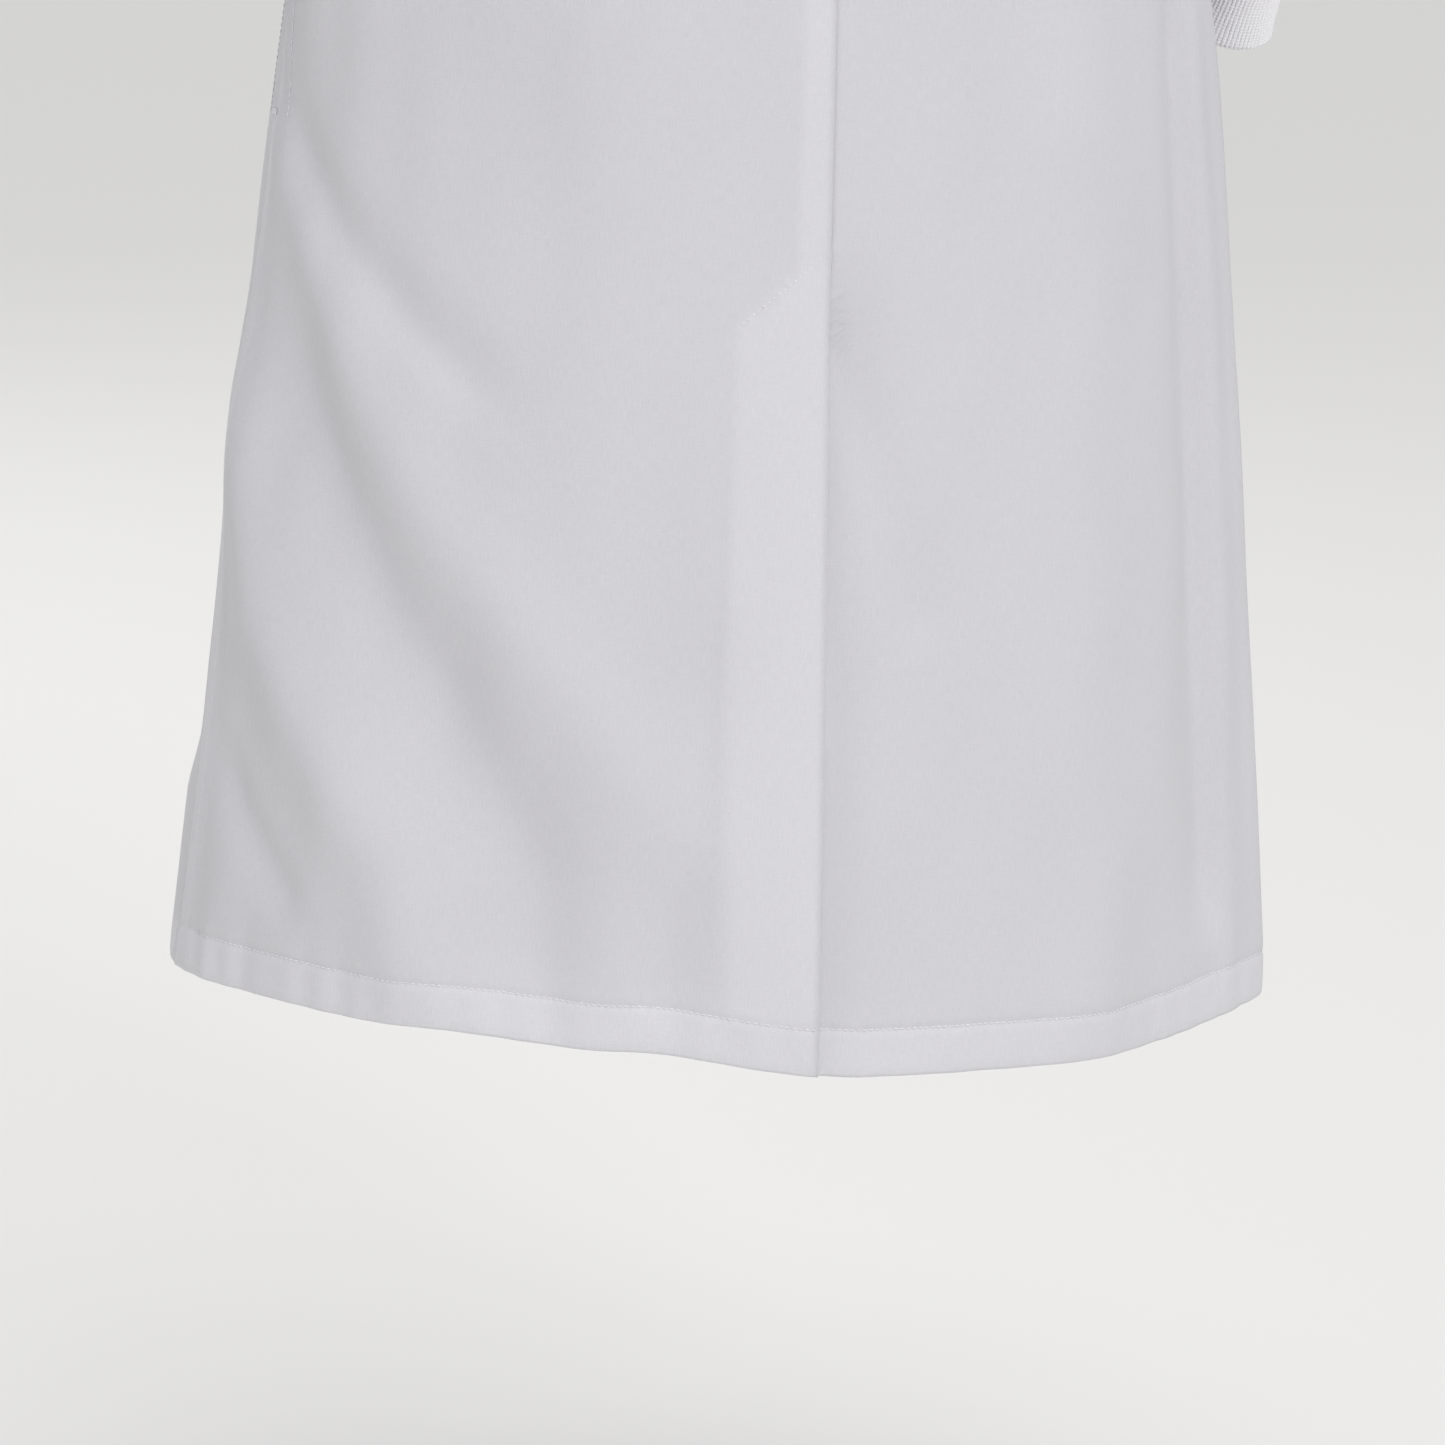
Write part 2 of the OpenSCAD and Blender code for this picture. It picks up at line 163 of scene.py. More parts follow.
# Folds: line of (angle, z), depth (negative is a valley), width before and after the
# line, counted along growing angles, and the share of its length over which it fades.
# Some of the lines on the back, such as the right hollow's, were traced, not chosen.
FOLDS = [
    # streaks that run from the left slit's bar tack, and the swell above them
    ([(92, -590), (82, -612), (68, -664), (53, -712), (38, -758)], -5.5, 20, 14, 0.35),
    ([(96, -596), (84, -640), (72, -690), (60, -748)], 2.5, 16, 16, 0.4),
    ([(96, -525), (70, -505), (45, -510), (20, -545)], 12.0, 75, 75, 0.3),
    # the long fold from the tack down to the hem: hollow, then ridge
    ([(80, -690), (68, -776), (56, -850), (45, -908), (37, -960), (31, -1010), (29, -1100)],
     -12.0, 27, 36, 0.30),
    ([(70, -680), (55, -774), (40, -852), (28, -908), (18, -965), (11, -1020)], 4.5, 26, 26, 0.3),
    ([(96, -700), (86, -800), (76, -890), (63, -950), (50, -1010), (42, -1110)], 8.0, 30, 28, 0.25),
    ([(86, -950), (76, -1000), (62, -1052)], -4.5, 15, 16, 0.35),
    ([(104, -960), (98, -1020), (94, -1110)], 5.0, 20, 24, 0.3),
    # right back: swell, hollow with a steep far side, ridge
    ([(-34, -500), (-34, -640), (-33, -800), (-31, -1110)], 7.0, 32, 34, 0.2),
    ([(-60, -450), (-60, -594), (-60, -758), (-58, -924), (-56, -1062)], -13.0, 11, 32, 0.2),
    ([(-73, -470), (-73, -700), (-72, -900), (-70, -1110)], 5.0, 14, 12, 0.2),
    ([(-86, -430), (-86, -560), (-86, -700)], -9.0, 26, 22, 0.3),
    ([(-84, -930), (-84, -1030), (-84, -1120)], 6.0, 24, 20, 0.4),
    # beside the vent
    ([(-1, -655), (-2, -720), (-6, -790), (-11, -880)], -4.0, 20, 9, 0.3),
    ([(-2, -840), (-2, -940), (-2, -1080)], -2.5, 14, 6, 0.3),
    ([(11, -840), (13, -930), (15, -1010), (16, -1090)], -5.5, 18, 14, 0.3),
    # front and sides
    ([(108, -660), (110, -760), (112, -880), (112, -1110)], -6.0, 22, 20, 0.2),
    ([(130, -420), (132, -600), (134, -820), (136, -1110)], 5.0, 26, 30, 0.25),
    ([(152, -800), (152, -900), (151, -1110)], -4.5, 20, 24, 0.3),
    ([(-104, -420), (-106, -640), (-107, -860), (-107, -1110)], 6.0, 20, 22, 0.25),
    ([(-128, -800), (-128, -900), (-127, -1110)], -5.0, 20, 24, 0.3),
    ([(-150, -860), (-151, -960), (-152, -1110)], 3.5, 22, 24, 0.3),
    # shoulder blades, waist and armpits
    ([(30, -40), (24, -120), (14, -190), (4, -240)], -3.0, 16, 22, 0.35),
    ([(-30, -40), (-24, -120), (-14, -190), (-4, -240)], -3.0, 22, 16, 0.35),
    ([(64, -235), (50, -285), (34, -350), (24, -430)], -5.0, 18, 14, 0.35),
    ([(-64, -235), (-50, -285), (-34, -350), (-24, -430)], -5.0, 14, 18, 0.35),
    ([(80, -320), (66, -400), (56, -480)], 5.0, 16, 18, 0.35),
    ([(-80, -320), (-66, -400), (-56, -480)], 5.0, 18, 16, 0.35),
    ([(116, -235), (132, -300), (148, -370)], -5.0, 14, 16, 0.35),
    ([(-116, -235), (-132, -300), (-148, -370)], -5.0, 16, 14, 0.35),
    ([(108, -330), (122, -420), (136, -520)], 4.5, 16, 20, 0.35),
    ([(-108, -330), (-122, -420), (-136, -520)], 4.5, 20, 16, 0.35),
]
ARC = 4.35


def crease(a, z, line, depth, before, after, fade):
    """Depth at angle a and height z of one fold, sideways from its line of points."""
    s = a * ARC
    best = np.full(s.shape, 1e9)
    side, along = np.zeros(s.shape), np.zeros(s.shape)
    pts = np.array(line, float) * [ARC, 1]
    lengths = np.linalg.norm(np.diff(pts, axis=0), axis=1)
    total = lengths.sum()
    start = 0.0
    for p, r, h in zip(pts[:-1], pts[1:], lengths):
        d = (r - p) / h
        k = (s - p[0]) * d[0] + (z - p[1]) * d[1]
        c = np.clip(k, 0, h)
        e = np.hypot(s - p[0] - c * d[0], z - p[1] - c * d[1])
        near = e < best
        best = np.where(near, e, best)
        side = np.where(near, s - p[0] - c * d[0], side)
        along = np.where(near, (start + c) / total, along)
        start += h
    width = np.where(side < 0, before, after)
    ends = ease(along / fade) * ease((1 - along) / (fade * 0.6) + 0.35)
    return depth * ends * np.exp(-(best / width) ** 2)


def ripple(a, z):
    """Shallow waves of hanging cloth, longer downward than across."""
    s = a * ARC
    w = (1.1 * np.sin(s / 27 + 1.3 * np.sin(z / 170)) * np.sin(z / 210 + s / 300 + 0.7)
         + 0.8 * np.sin(s / 15.5 + 0.9 + 1.1 * np.sin(z / 120 + 2)) * np.sin(z / 96 + s / 90)
         + 0.45 * np.sin(s / 9.1 + z / 61) * np.sin(z / 43 - s / 57 + 1))
    return w


def pucker(a, z):
    """Small waves that the hem's stitching draws into its band."""
    s = a * ARC
    band = np.exp(-((z + LEN - HEM_BAND * 0.5) / (HEM_BAND * 0.7)) ** 2)
    return 0.9 * band * np.sin(s / 3.9 + 1.2 * np.sin(s / 31)) * (0.7 + 0.3 * np.sin(s / 17))


def folds(a, z):
    total = ripple(a, z) * (0.35 + 0.65 * ease((PIT - z) / 300)) + pucker(a, z)
    for f in FOLDS:
        for turn in (-360, 0, 360):
            line = [(p + turn, h) for p, h in f[0]]
            low, high = min(p for p, _ in line) - 25, max(p for p, _ in line) + 25
            if high > a.min() and low < a.max():
                total = total + crease(a, z, line, *f[1:])
    return total


def calm(q, v, f, x):
    """Share of the folds that is kept: little near neck, armhole and front edge."""
    share = ease((2 - v) / 0.5) * (1 - 0.75 * np.exp(-((np.abs(q) - 90) / 9) ** 2) * (v > 1))
    if f < 0:
        share = share * mix(0.06, 1, ease((np.abs(x) - 30) / 80))
    return share


def surf(q, v, f, off=0.0):
    """Points of the draped coat, off outward of its cloth."""
    q, v, off = np.broadcast_arrays(*(np.asarray(k, float) for k in (q, v, off)))
    p, n = body(q, v, f), out_n(q, v, f)
    z = p[..., 2]
    a = q if f > 0 else np.where(q >= 0, 180 - q, -180 - q)
    low = spread(z)
    push = ring_value(OUTWARD, a) * low ** 1.3
    plan = unit(np.stack([n[..., 0], n[..., 1], np.zeros_like(z)], -1))
    crest = folds(a, z) * calm(q, v, f, p[..., 0])
    if f > 0:
        crest = crest + relief(p[..., 0], z, q)
    lift = ring_value(UPWARD, a) * low ** 3
    return p + n * (off + crest)[..., None] + plan * push[..., None] + \
        np.stack([np.zeros_like(z), np.zeros_like(z), lift], -1)


def relief(x, z, q):
    """Thickness that shows through the back: seam allowance, vent facing, side seams."""
    slant = -VENT_TOP + 12 - x * 0.85
    allowance = 0.6 * ease((x + 1) / 1.5) * ease((19 - x) / 2.5) * ease((z - slant) / 6)
    facing = 0.9 * ease((x + 1) / 1.5) * ease((FACING_W + 1.5 - x) / 3) * ease((slant - z) / 5)
    flat = 0.8 * ease((np.abs(q) - 86.2) / 0.5) * (z < PIT)
    groove = -0.6 * np.exp(-((z + LEN - HEM_BAND) / 1.8) ** 2)
    return (allowance + facing + flat) * ease((-60 - z) / 60) + groove


def doubled(p, q):
    """1 where the panel's cloth lies double: hem, seam allowance, vent and front facings."""
    x, z = p[..., 0], p[..., 2]
    hem = ease((-LEN + HEM_BAND - z) / 3 + 0.5)
    if p[..., 1].mean() > 0:
        slant = -VENT_TOP + 12 - x * 0.85
        low = ease((slant - z) / 8 + 0.5)
        strip = (x > -0.5) * ease((mix(18, FACING_W, low) - x) / 5 + 0.5)
    else:
        strip = ease((58 - np.abs(x)) / 5 + 0.5) * (z < -360)
    side = ease((np.abs(q) - 87.2) / 0.8 + 0.5) * (z < PIT)
    return np.maximum(hem, np.maximum(strip, side))


def edge_q(v):
    return np.where(v <= 1, 90, 90 - ARMHOLE * 2 * np.sqrt(np.clip((v - 1) * (2 - v), 0, 1)))


def side_q(v):
    u = (v - z_row(-SLIT_LOW)) / (SLIT_LEN / SKIRT)
    gap = np.where((u > 0) & (u < 1), SLIT_GAP / mix(CHEST_D, HEM_D, spread(row_z(v)))
                   * sind(180 * np.clip(u, 0, 1)), 0)
    return np.minimum(edge_q(v), 90 - np.degrees(gap))


def seam_q(v, f):
    """Side column in the looks: the back laps over the front at the side seam."""
    u = (v - z_row(-SLIT_LOW)) / (SLIT_LEN / SKIRT)
    closed = (v <= 1) & ((u <= 0) | (u >= 1))
    return side_q(v) + np.where(closed, 1.2 if f > 0 else 0.3, 0.0)


def seam_off(q, v, f):
    return np.where(f > 0, 0.6 * ease((np.abs(q) - 86) / 3), -1.3 * ease((np.abs(q) - 87.5) / 2)) * (v <= 1)


def roll_x(v):
    return mix(-LAP, NECK_X, (v - BREAK) / (2 - BREAK))


def over_off(x):
    return OVER * ease((60 - x) / 30)


def under_off(x, v):
    return np.minimum(-UNDER * ease((x + 30) / 27) * ease((z_row(-VENT_TOP) + 0.04 - v) / 0.12),
                      -0.8 * ease((x + 5) / 4))


# ---------------------------------------------------------------- materials
def material(name, colour, rough, build=None, sheen=0.0, metal=0.0):
    m = bpy.data.materials.new(name)
    m.use_nodes = True
    nt = m.node_tree
    b = nt.nodes["Principled BSDF"]
    b.inputs["Base Color"].default_value = (*colour, 1)
    b.inputs["Roughness"].default_value = rough
    b.inputs["Metallic"].default_value = metal
    b.inputs["Sheen Weight"].default_value = sheen
    if sheen:
        b.inputs["Sheen Roughness"].default_value = 0.6
    if build:
        build(nt, b, colour)
    return m


def node(nt, kind, **values):
    n = nt.nodes.new(kind)
    for k, value in values.items():
        if k in n.inputs:
            n.inputs[k].default_value = value
        else:
            setattr(n, k, value)
    return n


def scaled_uv(nt, x, y):
    """The cloth's own coordinates, in metres along and across, times x and y."""
    uv = node(nt, "ShaderNodeUVMap")
    m = node(nt, "ShaderNodeVectorMath", operation="MULTIPLY")
    m.inputs[1].default_value = (x, y, 1)
    nt.links.new(uv.outputs["UV"], m.inputs[0])
    return m.outputs[0]


def noise(nt, vector, detail=3.0):
    n = node(nt, "ShaderNodeTexNoise")
    n.inputs["Scale"].default_value = 1
    n.inputs["Detail"].default_value = detail
    nt.links.new(vector, n.inputs["Vector"])
    return n.outputs["Fac"]


def remap(nt, value, low, high):
    r = node(nt, "ShaderNodeMapRange")
    r.inputs["From Min"].default_value = 0.3
    r.inputs["From Max"].default_value = 0.7
    r.inputs["To Min"].default_value = low
    r.inputs["To Max"].default_value = high
    nt.links.new(value, r.inputs["Value"])
    return r.outputs["Result"]


def combine(nt, operation, a, b):
    m = node(nt, "ShaderNodeMath", operation=operation)
    for socket, value in zip(m.inputs, (a, b)):
        if isinstance(value, float):
            socket.default_value = value
        else:
            nt.links.new(value, socket)
    return m.outputs[0]


def shade(nt, b, colour, factor):
    """The base colour times a factor that varies over the cloth."""
    m = node(nt, "ShaderNodeVectorMath", operation="SCALE")
    m.inputs[0].default_value = colour
    nt.links.new(factor, m.inputs["Scale"])
    nt.links.new(m.outputs[0], b.inputs["Base Color"])


def raise_by(nt, b, height, distance):
    bump = node(nt, "ShaderNodeBump")
    bump.inputs["Strength"].default_value = 0.6
    bump.inputs["Distance"].default_value = distance
    nt.links.new(height, bump.inputs["Height"])
    nt.links.new(bump.outputs["Normal"], b.inputs["Normal"])


def woven(nt, b, colour):
    """Plain weave with slubs along the warp, soft mottling and handling wear."""
    slub = noise(nt, scaled_uv(nt, 1500, 150), 2)
    weft = noise(nt, scaled_uv(nt, 190, 1300), 2)
    grain = noise(nt, scaled_uv(nt, 1100, 900), 1)
    wear = noise(nt, scaled_uv(nt, 14, 9), 4)
    weave = combine(nt, "ADD", combine(nt, "MULTIPLY", slub, 0.5), combine(nt, "MULTIPLY", weft, 0.3))
    weave = combine(nt, "ADD", weave, combine(nt, "MULTIPLY", grain, 0.2))
    layers = node(nt, "ShaderNodeAttribute", attribute_name="double")
    dense = node(nt, "ShaderNodeMapRange")
    dense.inputs["To Min"].default_value = 0.98
    dense.inputs["To Max"].default_value = 1.045
    nt.links.new(layers.outputs["Fac"], dense.inputs["Value"])
    mottle = combine(nt, "MULTIPLY", remap(nt, wear, 0.985, 1.01), dense.outputs["Result"])
    shade(nt, b, colour, combine(nt, "MULTIPLY", remap(nt, weave, 0.93, 1.04), mottle))
    raise_by(nt, b, weave, 0.00035)
    nt.links.new(remap(nt, wear, 0.78, 0.9), b.inputs["Roughness"])


def ribbed(nt, b, colour):
    loops = node(nt, "ShaderNodeTexWave")
    loops.bands_direction = "Y"
    loops.inputs["Scale"].default_value = 1
    loops.inputs["Distortion"].default_value = 1.2
    nt.links.new(scaled_uv(nt, 300, 170), loops.inputs["Vector"])
    fuzz = noise(nt, scaled_uv(nt, 900, 700), 2)
    coarse = combine(nt, "MULTIPLY", loops.outputs["Fac"], 0.6)
    fine = combine(nt, "MULTIPLY", fuzz, 0.4)
    knit = combine(nt, "ADD", coarse, fine)
    shade(nt, b, colour, remap(nt, knit, 0.93, 1.03))
    raise_by(nt, b, knit, 0.0004)


def spun(nt, b, colour):
    at = node(nt, "ShaderNodeTexCoord")
    m = node(nt, "ShaderNodeVectorMath", operation="SCALE")
    m.inputs["Scale"].default_value = 2500
    nt.links.new(at.outputs["Object"], m.inputs[0])
    f = noise(nt, m.outputs[0], 2)
    shade(nt, b, colour, remap(nt, f, 0.9, 1.05))
    raise_by(nt, b, f, 0.0001)


def scuffed(nt, b, colour):
    at = node(nt, "ShaderNodeTexCoord")
    m = node(nt, "ShaderNodeVectorMath", operation="SCALE")
    m.inputs["Scale"].default_value = 600
    nt.links.new(at.outputs["Object"], m.inputs[0])
    f = noise(nt, m.outputs[0], 5)
    shade(nt, b, colour, remap(nt, f, 0.93, 1.04))
    raise_by(nt, b, f, 0.00005)
    nt.links.new(remap(nt, f, 0.3, 0.5), b.inputs["Roughness"])


WHITE = (0.668, 0.659, 0.688)
COAT = material("Coat Cloth", WHITE, 0.85, woven, sheen=0.15)
# The knit is the same white as the coat, but its colour is painted lighter to offset the shade the cuffs
# hang in.
KNIT = material("Rib Knit", (0.95, 0.94, 0.965), 0.9, ribbed, sheen=0.3)
TAPE = material("Loop Tape", (0.80, 0.80, 0.81), 0.8, woven, sheen=0.1)
LABEL = material("Blank Label", (0.72, 0.74, 0.78), 0.55, woven)
# The thread's colour is painted lighter than the coat's cloth to offset the shade between the raised
# stitches.
THREAD = material("Thread", (0.86, 0.85, 0.88), 0.65, spun)
CAP = material("Snap Cap", (0.80, 0.80, 0.79), 0.35, scuffed)
METAL = material("Snap Metal", (0.62, 0.62, 0.63), 0.35, scuffed, metal=1.0)

# ---------------------------------------------------------------- mesh builders
def grid_normals(p, round_):
    if round_:
        b = np.roll(p, -1, 1) - np.roll(p, 1, 1)
    else:
        b = np.gradient(p, axis=1)
    return unit(np.cross(np.gradient(p, axis=0), b))


def mark_double(o, flags):
    """The doubled() flags of a sheet's grid as a point attribute that its material reads."""
    a = o.data.attributes.new("double", "FLOAT", "POINT")
    a.data.foreach_set("value", np.tile(flags.ravel(), 2).astype(np.float32))


def mesh_object(name, points, faces, mat, uvs=None):
    me = bpy.data.meshes.new(name)
    me.from_pydata((np.asarray(points) / 1000).tolist(), [], faces)
    me.shade_smooth()
    me.materials.append(mat)
    if uvs is not None:
        layer = me.uv_layers.new(name="UVMap")
        loops = np.empty(len(me.loops), np.int32)
        me.loops.foreach_get("vertex_index", loops)
        layer.data.foreach_set("uv", np.asarray(uvs)[loops].astype(np.float32).ravel())
    me.validate()
    o = bpy.data.objects.new(name, me)
    bpy.context.collection.objects.link(o)
    return o


def cloth(name, p, mat=COAT, thick=CLOTH, round_=False):
    """Closed sheet about a grid of points, in rows of columns."""
    r, c = p.shape[:2]
    n = grid_normals(p, round_)
    pts = np.concatenate([(p + n * thick / 2).reshape(-1, 3), (p - n * thick / 2).reshape(-1, 3)])
    w = c if round_ else c - 1
    i, j = np.meshgrid(np.arange(r - 1), np.arange(w), indexing="ij")
    m = (j + 1) % c
    k = r * c
    up = np.stack([i * c + j, (i + 1) * c + j, (i + 1) * c + m, i * c + m], -1).reshape(-1, 4)
    back = np.stack([k + i * c + j, k + i * c + m,
                     k + (i + 1) * c + m, k + (i + 1) * c + j], -1).reshape(-1, 4)
    j = np.arange(w)
    m = (j + 1) % c
    e = (r - 1) * c
    rims = [np.stack([j, m, k + m, k + j], -1), np.stack([e + j, k + e + j, k + e + m, e + m], -1)]
    if not round_:
        i = np.arange(r - 1)
        rims.append(np.stack([i * c, k + i * c, k + (i + 1) * c, (i + 1) * c], -1))
        d = c - 1
        rims.append(np.stack([i * c + d, (i + 1) * c + d, k + (i + 1) * c + d, k + i * c + d], -1))
    faces = np.concatenate([up, back, *rims]).tolist()
    u = np.cumsum(np.linalg.norm(np.diff(p, axis=1, prepend=p[:, :1]), axis=-1), 1)
    u = u - u[:, c // 2:c // 2 + 1]
    v = np.cumsum(np.linalg.norm(np.diff(p, axis=0, prepend=p[:1]), axis=-1), 0)
    uv = np.stack([u, np.broadcast_to(v.mean(1, keepdims=True), u.shape)], -1).reshape(-1, 2) / 1000
    return mesh_object(name, pts, faces, mat, np.concatenate([uv, uv]))


def stitches(name, runs, pitch=3.5, long=2.6, thick=0.7):
    """Spindles laid end to end along each run of (points, normals)."""
    pts, faces = [], []
    for path, normal in runs:
        step = np.linalg.norm(np.diff(path, axis=0), axis=1)
        at = np.concatenate([[0], np.cumsum(step)])
        count = int(at[-1] / pitch)
        if count < 1:
            continue
        s = (np.arange(count) + 0.5) * pitch
        mid = np.stack([np.interp(s, at, path[:, k]) for k in range(3)], -1)
        n = unit(np.stack([np.interp(s, at, normal[:, k]) for k in range(3)], -1))
        ahead = np.stack([np.interp(s + 0.5, at, path[:, k]) for k in range(3)], -1)
        behind = np.stack([np.interp(s - 0.5, at, path[:, k]) for k in range(3)], -1)
        t = unit(ahead - behind)
        b = np.cross(t, n)
        base = sum(len(x) for x in pts)
        ring = []
        for along, size, rise in ((-0.5, 0.25, -0.25), (-0.28, 1, 0.1), (0.28, 1, 0.1), (0.5, 0.25, -0.25)):
            centre = mid + t * along * long + n * rise * thick
            for da, db in ((0, 0.5), (0.4, 0), (0, -0.5), (-0.4, 0)):
                ring.append(centre + (n * da + b * db) * size * thick)
        pts.append(np.stack(ring, 1).reshape(-1, 3))
        one = [[g * 4 + k, g * 4 + (k + 1) % 4, g * 4 + 4 + (k + 1) % 4, g * 4 + 4 + k]
               for g in range(3) for k in range(4)] + [[3, 2, 1, 0], [12, 13, 14, 15]]
        faces += [[base + 16 * i + k for k in fc] for i in range(count) for fc in one]
    o = mesh_object(name, np.concatenate(pts), faces, THREAD)
    return o


def run(points, towards):
    """A stitching run on the surface: its points lifted a little, and its normals."""
    return points + towards * 0.2, towards


def line_on(q, v, f, off=0.0):
    """Run of stitches through columns q and rows v, on the outside of the cloth."""
    q, v, off = np.broadcast_arrays(*(np.asarray(k, float) for k in (q, v, off)))
    p = surf(q, v, f, off + CLOTH / 2)
    return run(p, out_n(q, v, f))


def side_blend(s, *objs):
    for o in objs:
        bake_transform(o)


def vent_blend(*objs):
    for o in objs:
        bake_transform(o)


def arm_blend(s, *objs):
    for o in objs:
        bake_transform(o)


def hemmed(rows):
    """Rows of a panel with its turned hem: (row, offset) from the turning's top, round the edge, up."""
    inside = [(z_row(-LEN + h), -1.7) for h in np.linspace(HEM_BAND + 3, 3, 6)]
    edge = [(z_row(-LEN + 1.2), -1.55), (z_row(-LEN + 0.5), -1.1), (z_row(-LEN + 0.35), -0.5)]
    return inside + edge + [(v, 0.0) for v in rows]


def panel(name, rows, cols, q0, q1, f, off, hem=True, **kw):
    """Sheet of the body between two columns given for each row; off(x, v) offsets it."""
    pairs = hemmed(rows) if hem else [(v, 0.0) for v in rows]
    v = np.array([p[0] for p in pairs])[:, None]
    turn = np.array([p[1] for p in pairs])[:, None]
    q = mix(q0(v), q1(v), np.asarray(cols)[None, :])
    x = wide(v) * sind(q)
    offs = off(x, v) + turn + seam_off(q, v, f)
    p = surf(q, v, f, offs)
    if f < 0:
        p = p[:, ::-1]
    flat = body(q, v * np.ones_like(q), f)
    o = cloth(name, p, **kw)
    if hem:
        flags = doubled(flat, q)
        mark_double(o, flags if f > 0 else flags[:, ::-1])
    return o, flat


def steps(n, bias=1.0):
    t = np.linspace(0, 1, n)
    return 1 - (1 - t) ** bias


LOW_ROWS = [z_row(-LEN + h) for h in (2, 7, 12, 16, 19, 21, 23, 24, 25, 26, 27, 29, 31, 34, 38, 42)]
LOW_ROWS += list(np.linspace(z_row(-LEN + 48), 1, 116))
UP_ROWS = list(1 + (1 - np.cos(np.pi * np.arange(1, 41) / 40)) / 2)
ROWS = LOW_ROWS + UP_ROWS
BACK_COLS = steps(84)

# ---------------------------------------------------------------- back
back_left, flat = panel("back_left_cloth", ROWS, BACK_COLS,
                        lambda v: q_of(0.2, v), lambda v: seam_q(v, 1), 1,
                        lambda x, v: np.zeros_like(x))
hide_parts("back_left", "back_left_flap")
vent_blend(back_left)


def right_inner(v):
    return q_of(mix(2.5, UNDERLAP, ease((z_row(-VENT_TOP) - v) / 0.06)), v)


back_right, flat = panel("back_right_cloth", ROWS, BACK_COLS,
                         right_inner, lambda v: -seam_q(v, 1), 1, under_off)
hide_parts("back_right")
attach(back_right, "coat")

# Facing turned in behind the vent's edge
vent_rows = np.linspace(z_row(-LEN + 3), z_row(-VENT_TOP - 22), 60)
facing, flat = panel("vent_facing_cloth", vent_rows, np.linspace(0, 1, 10), lambda v: q_of(1.2, v),
                     lambda v: q_of(FACING_W - 1, v), 1, lambda x, v: np.full_like(x, -2.9), hem=False)
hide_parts("vent_facing")
vent_blend(facing)

# ---------------------------------------------------------------- fronts
def front_rows():
    return LOW_ROWS + [v for v in UP_ROWS]


def front(s):
    """One front, whole from its edge or roll line to the side seam."""
    side = "left" if s > 0 else "right"

    def inner(v):
        return q_of(np.where(v < BREAK, -LAP, roll_x(v)), v)

    v = np.array([p[0] for p in hemmed(front_rows())])[:, None]
    turn = np.array([p[1] for p in hemmed(front_rows())])[:, None]
    q = mix(inner(v), seam_q(v, -1), steps(88)[None, :])
    x = wide(v) * sind(q)
    offs = turn + seam_off(q, v, -1) + (over_off(x) if s > 0 else 0)
    p = surf(s * q, v, -1, offs)
    p = p[:, ::-1] if s > 0 else p
    o = cloth(f"front_{side}_cloth", p)
    flags = doubled(body(s * q, v * np.ones_like(q), -1), q)
    mark_double(o, flags[:, ::-1] if s > 0 else flags)
    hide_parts(f"chest_{side}", f"side_front_{side}", f"skirt_{side}")
    side_blend(s, o)

    rows = np.linspace(z_row(-LEN + 4), BREAK, 100)[:, None]
    x = np.linspace(-LAP + 0.8, 58, 16)[None, :]
    q = q_of(x, rows)
    offs = -2.6 + (over_off(x) if s > 0 else 0) + 0 * q
    p = surf(s * q, rows, -1, offs)
    p = p[:, ::-1] if s > 0 else p
    o2 = cloth(f"facing_{side}_cloth", p)
    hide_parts(f"facing_{side}")
    side_blend(s, o2)

    b = np.linspace(0, 1, 60)[:, None]
    a = np.linspace(0, 1, 26)[None, :]
    v = mix(BREAK + 0.008, 1.8 - 0.1 * a, b)
    out = a * (3 + 80 * sind(90 * b) ** 0.9)
    x = roll_x(v)
    q = q_of(x + out, v)
    roll = 2.6 + 2.2 * np.exp(-(out / 7) ** 2) * sind(np.clip(180 * b, 0, 170)) + 0.9 * a
    offs = roll + (over_off(wide(v) * sind(q)) if s > 0 else 0)
    p = surf(s * q, v, -1, offs)
    p = p[:, ::-1] if s > 0 else p
    o3 = cloth(f"lapel_{side}_cloth", p, thick=1.1)
    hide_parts(f"lapel_{side}")
    side_blend(s, o3)

    lines = []
    over = OVER if s > 0 else 0
    v = np.linspace(z_row(-LEN + 2), BREAK, 220)
    lines.append(line_on(s * q_of(-LAP + 6, v), v, -1, over))
    x = np.linspace(-LAP + 2, 297, 260)
    v = z_row(-LEN + HEM_BAND) * np.ones_like(x)
    q = np.minimum(q_of(x, v), 89.6)
    lines.append(line_on(s * q, v, -1, over_off(x) if s > 0 else 0))
    b = np.linspace(0.06, 0.98, 150)
    v = mix(BREAK + 0.008, 1.7, b)
    out = 3 + 80 * sind(90 * b) ** 0.9
    q = q_of(roll_x(v) + np.maximum(out - 6, 1), v)
    lines.append(line_on(s * q, v, -1, 4.0 + (over_off(wide(v) * sind(q)) if s > 0 else 0)))
    a = np.linspace(0.25, 0.93, 40)
    v = 1.8 - 0.1 * a - 0.02
    q = q_of(roll_x(v) + a * 83, v)
    lines.append(line_on(s * q, v, -1, 4.0))
    st = stitches(f"stitches_front_{side}", lines)
    side_blend(s, st)
    return o, o2, o3


front(1)
front(-1)

